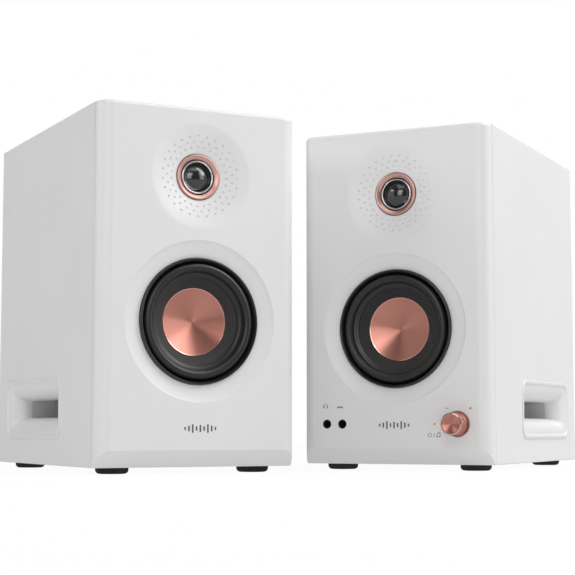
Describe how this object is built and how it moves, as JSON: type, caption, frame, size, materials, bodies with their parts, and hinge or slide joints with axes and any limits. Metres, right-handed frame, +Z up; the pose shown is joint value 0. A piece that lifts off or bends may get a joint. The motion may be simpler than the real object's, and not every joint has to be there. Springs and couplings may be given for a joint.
{
  "type": "desktop speakers",
  "caption": "Pair of white desktop monitor loudspeakers with rose-gold driver caps, side reflex ports, rubber feet and a front volume knob with jacks on the active one.",
  "frame": {"origin": "on the table, at the middle of the pair's plan", "axes": "+Z up, -Y towards the listener, +X from the left (passive) cabinet to the right (active) one"},
  "size_m": [0.4286, 0.312, 0.229],
  "materials": {
    "white_vinyl_mdf": "satin white film on MDF",
    "white_moulding": "satin white moulding",
    "grey_moulding": "plain moulding",
    "foot_rubber": "matt black rubber",
    "black_moulding": "black moulding",
    "red_moulding": "red moulding",
    "black_steel": "black powder coat",
    "surround_rubber": "satin butyl rubber",
    "cone_paper": "coated paper pulp",
    "spider_cloth": "resin-treated cloth",
    "rose_gold": "spun, rose-gold anodised",
    "copper_winding": "copper-clad winding",
    "ferrite": "sintered ferrite",
    "plated_steel": "zinc-plated",
    "dome_film": "gloss black diaphragm",
    "screw_steel": "blackened",
    "circuit_board": "lacquered laminate",
    "socket_metal": "nickel-plated",
    "lamp_lens": "clear red moulding",
    "amp_plate_paint": "black paint on aluminium"
  },
  "bodies": {
    "root": {"left_cabinet": "white_vinyl_mdf", "left_front_baffle": "white_moulding", "left_back_panel": "white_vinyl_mdf", "left_feet": "foot_rubber", "left_port_flare": "white_moulding", "left_port_duct": "grey_moulding", "left_woofer_trim_ring": "black_moulding", "left_woofer_surround": "surround_rubber", "left_woofer_spider": "spider_cloth", "left_woofer_basket": "black_steel", "left_woofer_magnet": "ferrite", "left_woofer_yoke": "plated_steel", "left_tweeter_trim_ring": "rose_gold", "left_tweeter_faceplate": "black_moulding", "left_tweeter_magnet": "plated_steel", "left_terminal_cup": "black_moulding", "right_cabinet": "white_vinyl_mdf", "right_front_baffle": "white_moulding", "right_back_panel": "white_vinyl_mdf", "right_feet": "foot_rubber", "right_port_flare": "white_moulding", "right_port_duct": "grey_moulding", "right_woofer_trim_ring": "black_moulding", "right_woofer_surround": "surround_rubber", "right_woofer_spider": "spider_cloth", "right_woofer_basket": "black_steel", "right_woofer_magnet": "ferrite", "right_woofer_yoke": "plated_steel", "right_tweeter_trim_ring": "rose_gold", "right_tweeter_faceplate": "black_moulding", "right_tweeter_magnet": "plated_steel", "right_terminal_cup": "black_moulding", "left_crossover_board": "circuit_board", "right_front_board": "circuit_board", "right_status_lens": "lamp_lens", "right_front_sockets": "black_moulding", "right_amp_plate": "amp_plate_paint", "right_amp_board": "circuit_board", "right_rca_sockets": "socket_metal", "right_mains_inlet": "black_moulding", "right_switch_housing": "black_moulding", "woofer_screws": "screw_steel", "panel_screws": "screw_steel"},
    "left_woofer_diaphragm": {"left_woofer_cone": "cone_paper", "left_woofer_dust_cap": "rose_gold", "left_woofer_voice_coil": "copper_winding"},
    "left_tweeter_diaphragm": {"left_tweeter_dome": "dome_film"},
    "left_red_lever": {"left_terminal_lever_red": "red_moulding"},
    "left_black_lever": {"left_terminal_lever_black": "black_moulding"},
    "right_woofer_diaphragm": {"right_woofer_cone": "cone_paper", "right_woofer_dust_cap": "rose_gold", "right_woofer_voice_coil": "copper_winding"},
    "right_tweeter_diaphragm": {"right_tweeter_dome": "dome_film"},
    "right_red_lever": {"right_terminal_lever_red": "red_moulding"},
    "right_black_lever": {"right_terminal_lever_black": "black_moulding"},
    "volume_push": {"right_encoder_shaft": "plated_steel"},
    "volume_turn": {"right_volume_knob": "rose_gold"},
    "bass_knob": {"right_bass_knob": "black_moulding"},
    "treble_knob": {"right_treble_knob": "black_moulding"},
    "rocker": {"right_power_rocker": "black_moulding"}
  },
  "joints": [
    {"name": "left_woofer_travel", "type": "slide", "parent": "root", "child": "left_woofer_diaphragm", "axis": [0.454, -0.891, 0], "range_m": [-0.003, 0.003], "stiffness_N_per_m": 1100, "deforming": ["left_woofer_surround", "left_woofer_spider"]},
    {"name": "left_tweeter_travel", "type": "slide", "parent": "root", "child": "left_tweeter_diaphragm", "axis": [0.454, -0.891, 0], "range_m": [-0.0003, 0.0003], "stiffness_N_per_m": 500},
    {"name": "left_red_lever_press", "type": "hinge", "parent": "root", "child": "left_red_lever", "pos_m": [-0.14165, 0.05535, 0.113], "axis": [-0.891, -0.454, 0], "range_deg": [0, 15], "stiffness_Nm_per_rad": 0.15, "springref_deg": -5.73},
    {"name": "left_black_lever_press", "type": "hinge", "parent": "root", "child": "left_black_lever", "pos_m": [-0.16125, 0.04536, 0.113], "axis": [-0.891, -0.454, 0], "range_deg": [0, 15], "stiffness_Nm_per_rad": 0.15, "springref_deg": -5.73},
    {"name": "right_woofer_travel", "type": "slide", "parent": "root", "child": "right_woofer_diaphragm", "axis": [-0.4305, -0.9026, 0], "range_m": [-0.003, 0.003], "stiffness_N_per_m": 1100, "deforming": ["right_woofer_surround", "right_woofer_spider"]},
    {"name": "right_tweeter_travel", "type": "slide", "parent": "root", "child": "right_tweeter_diaphragm", "axis": [-0.4305, -0.9026, 0], "range_m": [-0.0003, 0.0003], "stiffness_N_per_m": 500},
    {"name": "right_red_lever_press", "type": "hinge", "parent": "root", "child": "right_red_lever", "pos_m": [0.16163, 0.11795, 0.113], "axis": [-0.9026, 0.4305, 0], "range_deg": [0, 15], "stiffness_Nm_per_rad": 0.15, "springref_deg": -5.73},
    {"name": "right_black_lever_press", "type": "hinge", "parent": "root", "child": "right_black_lever", "pos_m": [0.14177, 0.12743, 0.113], "axis": [-0.9026, 0.4305, 0], "range_deg": [0, 15], "stiffness_Nm_per_rad": 0.15, "springref_deg": -5.73},
    {"name": "volume_push", "type": "slide", "parent": "root", "child": "volume_push", "axis": [0.4305, 0.9026, 0], "range_m": [0, 0.0008], "stiffness_N_per_m": 2500, "springref_m": -0.0004},
    {"name": "volume_turn", "type": "hinge", "parent": "volume_push", "child": "volume_turn", "pos_m": [0.1042, -0.07956, 0.0307], "axis": [-0.4305, -0.9026, 0], "continuous": true},
    {"name": "bass_turn", "type": "hinge", "parent": "root", "child": "bass_knob", "pos_m": [0.1719, 0.11859, 0.172], "axis": [0.4305, 0.9026, 0], "range_deg": [-150, 150]},
    {"name": "treble_turn", "type": "hinge", "parent": "root", "child": "treble_knob", "pos_m": [0.1358, 0.13581, 0.172], "axis": [0.4305, 0.9026, 0], "range_deg": [-150, 150]},
    {"name": "power_rock", "type": "hinge", "parent": "root", "child": "rocker", "pos_m": [0.13335, 0.13532, 0.064], "axis": [-0.9026, 0.4305, 0], "range_deg": [0, 14]}
  ]
}
